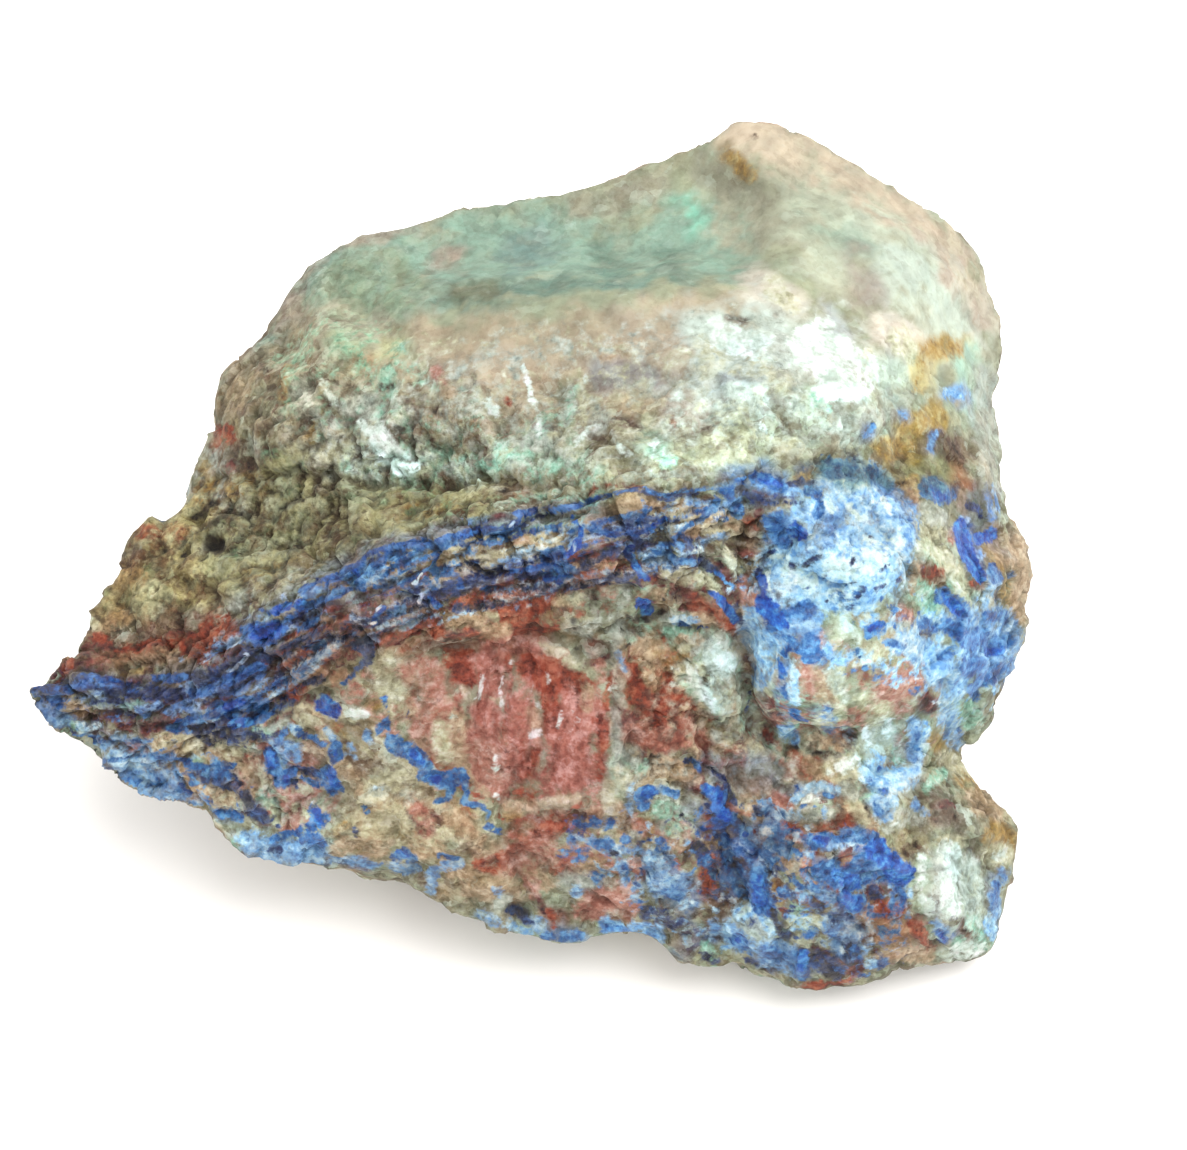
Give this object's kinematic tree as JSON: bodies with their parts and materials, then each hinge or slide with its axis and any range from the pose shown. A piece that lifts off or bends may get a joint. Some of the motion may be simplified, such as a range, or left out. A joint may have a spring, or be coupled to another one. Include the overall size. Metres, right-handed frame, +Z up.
{
  "type": "azurite malachite specimen",
  "caption": "Rough broken hand specimen: pale green crusted stone crossed by a deep blue mineral vein, with red and tan faces, lying on a flat resting face.",
  "frame": {"origin": "on the ground, under the middle of the stone's outer box", "axes": "+Z up; +X along the length, from the pointed beak to the rounded dome; +Y away from the face with the vein"},
  "size_m": [0.1011, 0.081, 0.0533],
  "materials": {
    "stone": "matte"
  },
  "bodies": {
    "root": {"azurite_malachite_stone": "stone"}
  },
  "joints": []
}
